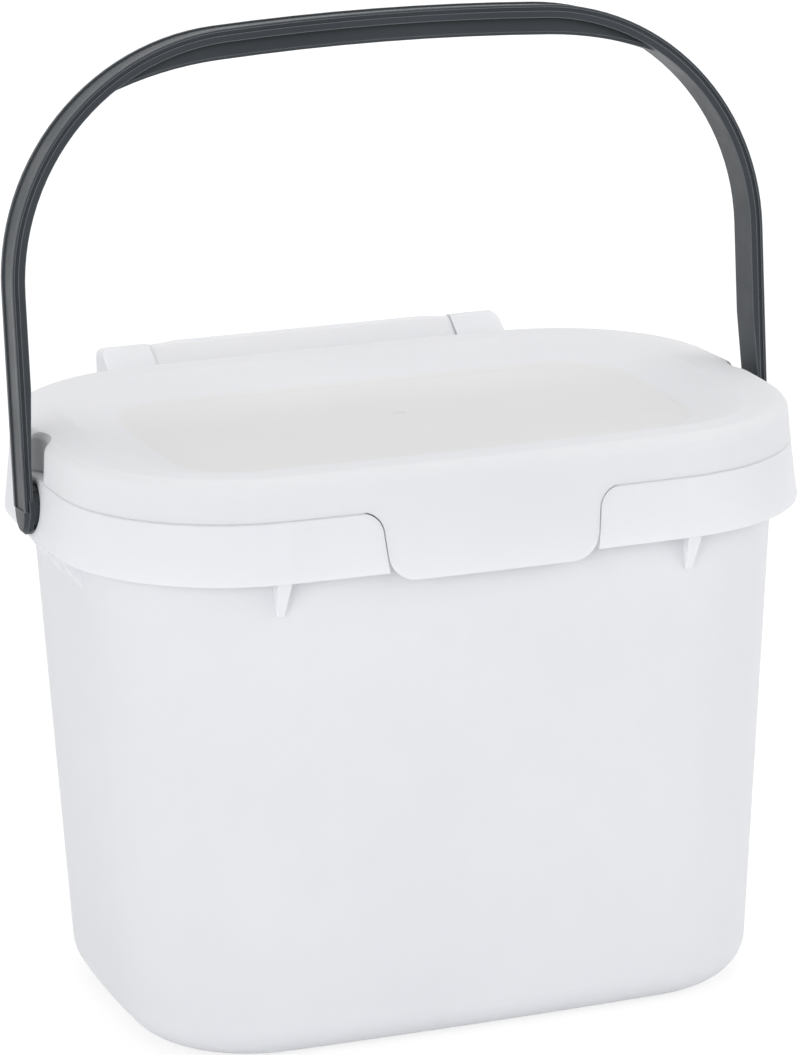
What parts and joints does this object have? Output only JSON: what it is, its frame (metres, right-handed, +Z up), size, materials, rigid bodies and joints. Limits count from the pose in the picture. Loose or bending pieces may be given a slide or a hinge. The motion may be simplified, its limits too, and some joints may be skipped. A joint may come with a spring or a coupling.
{
  "type": "kitchen compost caddy",
  "caption": "Tapered kitchen food-waste caddy with a wide band round the mouth, a dished lid on a rear hinge with a front finger tab, and an arched swinging carry handle.",
  "frame": {"origin": "on the resting face, under the middle of the tub", "axes": "+Z up, +X to the right, -Y to the front where the finger tab is"},
  "size_m": [0.251, 0.1849, 0.3133],
  "materials": {
    "tub": "satin moulded",
    "lid": "fine satin moulded",
    "handle": "satin moulded"
  },
  "bodies": {
    "tub": {"tub": "tub"},
    "lid": {"lid": "lid"},
    "handle": {"handle": "handle"}
  },
  "joints": [
    {"name": "lid_hinge", "type": "hinge", "parent": "tub", "child": "lid", "pos_m": [0, 0.096, 0.1884], "axis": [-1, 0, 0], "range_deg": [0, 34]},
    {"name": "handle_pivot", "type": "hinge", "parent": "tub", "child": "handle", "pos_m": [0, 0, 0.168], "axis": [1, 0, 0], "range_deg": [-140, 148]}
  ]
}
